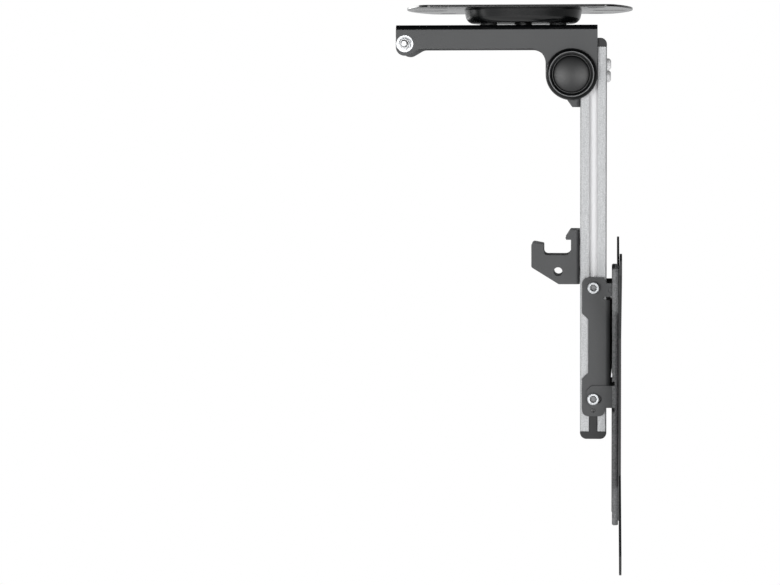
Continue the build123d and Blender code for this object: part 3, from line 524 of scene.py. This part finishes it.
def make_latch_hardware():
    """Latch bolt with a threaded end, and its lock nut with a nylon ring."""
    low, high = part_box("latch_bolt")
    x = (low.x + high.x) / 2
    z = (low.z + high.z) / 2
    start = -high.y / MM
    end = -low.y / MM
    rings = [(SCREW_RADIUS, start + BOLT_TIP), (SCREW_RADIUS, end - THREAD_LENGTH)]
    for turn in range(int(THREAD_LENGTH / THREAD_PITCH) - 1):
        crest = end - THREAD_LENGTH + turn * THREAD_PITCH
        rings.append((SCREW_RADIUS - THREAD_DEPTH, crest + THREAD_PITCH / 2))
        rings.append((SCREW_RADIUS, crest + THREAD_PITCH))
    rings.append((SCREW_RADIUS - THREAD_DEPTH, end - BOLT_TIP))
    rings.append((SCREW_RADIUS - BOLT_TIP_INSET, end))
    bolt = turned(rings, BOLT_SIDES)
    combine(bolt, hexagonal(LATCH_FLATS, start, start + LATCH_HEAD_HEIGHT), "UNION")
    add_modifier(bolt, "BEVEL", width=HARDWARE_EDGE, segments=2, limit_method="ANGLE",
                 angle_limit=THREAD_TURN, use_clamp_overlap=True)
    give_finish(bolt, "zinc_steel")
    seat(bolt, x, 0, z, -1)
    declare(bolt, "latch_bolt_threaded", bodies["latch_bolt"], slots["latch_bolt"], "latch_bolt")

    low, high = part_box("latch_nut")
    height = (high.y - low.y) / MM
    collar = LATCH_NUT_COLLAR
    recess = collar - NYLON_WALL
    bore = SCREW_RADIUS + BOLT_GAP
    nut = hexagonal(LATCH_FLATS, 0, LATCH_NUT_HEX)
    add_modifier(nut, "BEVEL", width=NUT_EDGE, segments=2, limit_method="ANGLE", angle_limit=SHARP_TURN)
    crown = ((collar, COLLAR_ROOT), (collar, height - CROWN_HEIGHT), (collar - CROWN_INSET, height))
    combine(nut, turned(crown), "UNION")
    combine(nut, turned(((recess, height - NYLON_DEPTH), (recess, height + CUT_OVERRUN))), "DIFFERENCE")
    combine(nut, turned(((bore, -CUT_OVERRUN), (bore, height + CUT_OVERRUN))), "DIFFERENCE")
    give_finish(nut, "zinc_steel")
    seat(nut, x, high.y, z, -1)
    declare(nut, "latch_lock_nut", bodies["latch_nut"], slots["latch_nut"], "latch_nut")

    outer = recess - NYLON_GAP
    top = height - NYLON_GAP
    ring = turned(((outer, height - NYLON_DEPTH), (outer, top - NYLON_RISE), (bore + BOLT_GAP, top)))
    combine(ring, turned(((bore, 0), (bore, height + CUT_OVERRUN))), "DIFFERENCE")
    give_finish(ring, "white_nylon")
    seat(ring, x, high.y, z, -1)
    declare(ring, "latch_nut_nylon_ring", bodies["latch_nut"], "cap_plastic")


def make_hinge_covers():
    """Round covers over the fold hinge, turned to the grooved and domed profile of the moulded ones."""
    pattern = turned(COVER_PROFILE, COVER_SIDES)
    give_finish(pattern, "black_plastic")
    pattern.data.materials.append(finishes["painted_highlight_ring"])
    pattern.data.materials.append(finishes["rim_plastic_painted_shade"])
    # Painted highlight on the ring line and painted shade on the rim, chosen by radius
    for face in pattern.data.polygons:
        radius = math.hypot(face.center.x, face.center.y) / MM
        face.material_index = int(radius > COVER_PAINTED_RING[0]) + int(radius > COVER_PAINTED_RING[1])
    for node, side in (("hinge_cover_near", -1), ("hinge_cover_far", 1)):
        low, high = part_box(node)
        cover = copied(pattern)
        seat(cover, (low.x + high.x) / 2, low.y if side > 0 else high.y, (low.z + high.z) / 2, side)
        declare(cover, node + "_moulded", bodies[node], slots[node], node)
    bpy.data.objects.remove(pattern)


def make_gap_shade_rib():
    """Rib on the clamp's web, a dark sheet that fills the see-through gap to the channel where there is only
    shade, rounded and drawn in at its ends.
    """
    bpy.ops.object.select_all(action="DESELECT")
    bpy.ops.mesh.primitive_cube_add(size=1.0)
    rib = bpy.context.active_object
    depth = RIB_PROUD + RIB_SINK
    rib.scale = (depth, RIB_WIDTH, RIB_TOP - RIB_BOTTOM)
    rib.location = (CLAMP_WEB_BACK - RIB_SINK + depth / 2, 0, (RIB_TOP + RIB_BOTTOM) / 2)
    bpy.ops.object.transform_apply(location=True, rotation=False, scale=True)
    bpy.ops.object.mode_set(mode="EDIT")
    bpy.ops.mesh.select_all(action="SELECT")
    bpy.ops.mesh.bisect(plane_co=(0, 0, RIB_SHOULDER), plane_no=(0, 0, 1))
    mesh = bmesh.from_edit_mesh(rib.data)
    for vertex in mesh.verts:
        vertex.select_set(vertex.co.x > CLAMP_WEB_BACK)
    mesh.select_flush(True)
    bmesh.update_edit_mesh(rib.data)
    bpy.ops.transform.resize(value=RIB_TAPER)
    for vertex in mesh.verts:
        vertex.select_set(vertex.co.x > CLAMP_WEB_BACK and vertex.co.z < (RIB_SHOULDER + RIB_BOTTOM) / 2)
    mesh.select_flush(False)
    bmesh.update_edit_mesh(rib.data)
    bpy.ops.transform.translate(value=(-RIB_LEAN, 0, 0))
    bpy.ops.object.mode_set(mode="OBJECT")
    add_modifier(rib, "BEVEL", width=RIB_EDGE, segments=3, limit_method="ANGLE", angle_limit=SHARP_TURN)
    give_finish(rib, "black_steel")
    declare(rib, "clamp_gap_shade_rib", bodies["carriage"], slots["carriage"])


def make_yoke():
    """Yoke with eased edges, its top and bends smoother than its cheeks and painted near black as shade."""
    yoke = eased("yoke", SHEET_EDGE)
    yoke.data.materials.append(finishes["gloss_black_steel"])
    # Painted shade: faces turned upward get the near-black coat
    for face in yoke.data.polygons:
        face.material_index = int(face.normal.z > SHADED_TOP_SHARE)


def make_channel():
    """Channel with eased edges, its sandy flanges parted from its smooth ears."""
    channel = eased("vesa_channel", SHEET_EDGE)
    give_finish(channel, "sanded_steel")
    channel.data.materials.append(finishes["black_steel"])
    only(channel)
    bpy.ops.object.mode_set(mode="EDIT")
    bpy.ops.mesh.select_all(action="SELECT")
    bpy.ops.mesh.bisect(plane_co=(CHANNEL_EARS, 0, 0), plane_no=(1, 0, 0))
    bpy.ops.object.mode_set(mode="OBJECT")
    for face in channel.data.polygons:
        face.material_index = int(face.center.x < CHANNEL_EARS)
    add_modifier(channel, "WEIGHTED_NORMAL", keep_sharp=True, weight=100)


def make_upper_cap():
    """Upper end cap, its tongues ended where the cover hides them."""
    only(eased("column_cap_top", PLASTIC_EDGE))
    bpy.ops.object.mode_set(mode="EDIT")
    bpy.ops.mesh.select_all(action="SELECT")
    bpy.ops.mesh.bisect(plane_co=(0, 0, CAP_TONGUE_END), plane_no=(0, 0, 1), clear_inner=True, use_fill=True)
    bpy.ops.object.mode_set(mode="OBJECT")


def make_floor():
    """Plain pale floor, white to the camera and in reflections, that keeps the mount's shadow."""
    bpy.ops.object.select_all(action="DESELECT")
    bpy.ops.mesh.primitive_plane_add(size=FLOOR_SIZE, location=(0, 0, FLOOR_Z))
    floor = bpy.context.active_object
    floor.name = "studio_floor"
    bpy.ops.object.transform_apply(location=True, rotation=False, scale=False)
    material = bpy.data.materials.new("pale_studio_paper")
    material.use_nodes = True
    tree = material.node_tree
    tree.nodes.clear()
    output = add_node(tree, "ShaderNodeOutputMaterial")
    path = add_node(tree, "ShaderNodeLightPath")
    direct = add_node(tree, "ShaderNodeMath", {"operation": "MAXIMUM"},
                      {0: path.outputs["Is Camera Ray"], 1: path.outputs["Is Transmission Ray"]}).outputs[0]
    seen = add_node(tree, "ShaderNodeMath", {"operation": "MAXIMUM"},
                    {0: direct, 1: path.outputs["Is Glossy Ray"]}).outputs[0]
    paper = add_node(tree, "ShaderNodeBsdfDiffuse", {"Color": linear("e8e8e8")})
    white = add_node(tree, "ShaderNodeEmission", {"Color": linear("ffffff"), "Strength": 0.75})
    both = add_node(tree, "ShaderNodeAddShader", links={0: paper.outputs[0], 1: white.outputs[0]})
    mixed = add_node(tree, "ShaderNodeMixShader", links={0: seen, 1: paper.outputs[0], 2: both.outputs[0]})
    tree.links.new(mixed.outputs[0], output.inputs["Surface"])
    floor.data.materials.append(material)


def add_lamp(name, place, size, power):
    """A soft square lamp that points at the middle of the mount."""
    data = bpy.data.lights.new(name, "AREA")
    data.shape = "SQUARE"
    data.size = size
    data.energy = power
    lamp = bpy.data.objects.new(name, data)
    bpy.context.scene.collection.objects.link(lamp)
    lamp.location = place
    direction = [end - start for end, start in zip(LAMP_AIM, place)]
    flat = math.hypot(direction[0], direction[1])
    lamp.rotation_euler = (math.atan2(flat, -direction[2]), 0, math.atan2(-direction[0], direction[1]))


def make_world():
    """Pale surroundings with a dark canopy overhead, plain white where the camera sees them."""
    world = bpy.data.worlds.new("soft_studio")
    bpy.context.scene.world = world
    world.use_nodes = True
    tree = world.node_tree
    tree.nodes.clear()
    output = add_node(tree, "ShaderNodeOutputWorld")
    path = add_node(tree, "ShaderNodeLightPath")
    direction = add_node(tree, "ShaderNodeTexCoord").outputs["Generated"]
    way = add_node(tree, "ShaderNodeSeparateXYZ", links={0: direction})
    canopy = add_node(tree, "ShaderNodeMapRange", CANOPY_FADE, {"Value": way.outputs["Z"]}).outputs["Result"]
    flag = add_node(tree, "ShaderNodeMapRange", FLAG_FADE, {"Value": way.outputs["X"]}).outputs["Result"]
    shade = add_node(tree, "ShaderNodeMath", {"operation": "MULTIPLY"}, {0: canopy, 1: flag}).outputs[0]
    soft = add_node(tree, "ShaderNodeMath", {"operation": "MULTIPLY", 1: ROOM_LIGHT}, {0: canopy}).outputs[0]
    level = add_node(tree, "ShaderNodeMix", {"data_type": "FLOAT"},
                     {"Factor": path.outputs["Is Glossy Ray"], "A": soft, "B": shade}).outputs["Result"]
    room = add_node(tree, "ShaderNodeBackground", {"Color": linear("f7f8f9")}, {"Strength": level})
    white = add_node(tree, "ShaderNodeBackground", {"Color": linear("ffffff"), "Strength": 1.0})
    plain = add_node(tree, "ShaderNodeMath", {"operation": "MAXIMUM"},
                     {0: path.outputs["Is Camera Ray"], 1: path.outputs["Is Transmission Ray"]}).outputs[0]
    mixed = add_node(tree, "ShaderNodeMixShader", links={0: plain, 1: room.outputs[0], 2: white.outputs[0]})
    tree.links.new(mixed.outputs[0], output.inputs["Surface"])


def make_camera():
    """Camera at the photograph's viewing angle."""
    data = bpy.data.cameras.new("photo_camera")
    data.sensor_width = IMAGE_WIDTH
    data.lens = CAMERA_LENS
    data.shift_x, data.shift_y = CAMERA_SHIFT
    camera = bpy.data.objects.new("photo_camera", data)
    bpy.context.scene.collection.objects.link(camera)
    camera.location = CAMERA_PLACE
    camera.rotation_euler = CAMERA_TURN
    bpy.context.scene.camera = camera


# The knuckle's round heads take the zinc painted nearly white as light
for name, node in nodes.items():
    give_finish(node, "painted_light_screw_steel" if name == "knuckle_screws" else slots[name])

for name in ("ceiling_plate", "knuckle", "hook_bracket", "carriage"):
    eased(name, SHEET_EDGE)
make_yoke()
make_channel()
give_finish(eased("vesa_plate", SHEET_EDGE), "plate_steel")
eased("column_cap_bottom", PLASTIC_EDGE)
make_upper_cap()
for name in ("latch_washers", "swivel_nut", "swivel_washer", "guide_nuts"):
    eased(name, HARDWARE_EDGE)
eased("column", EXTRUSION_EDGE)
make_clamp_screws()
make_latch_hardware()
make_hinge_covers()
make_gap_shade_rib()

make_floor()
make_world()
make_camera()
for name, place, size, power in LAMPS:
    add_lamp(name, place, size, power)
bpy.context.scene.view_settings.view_transform = "Standard"
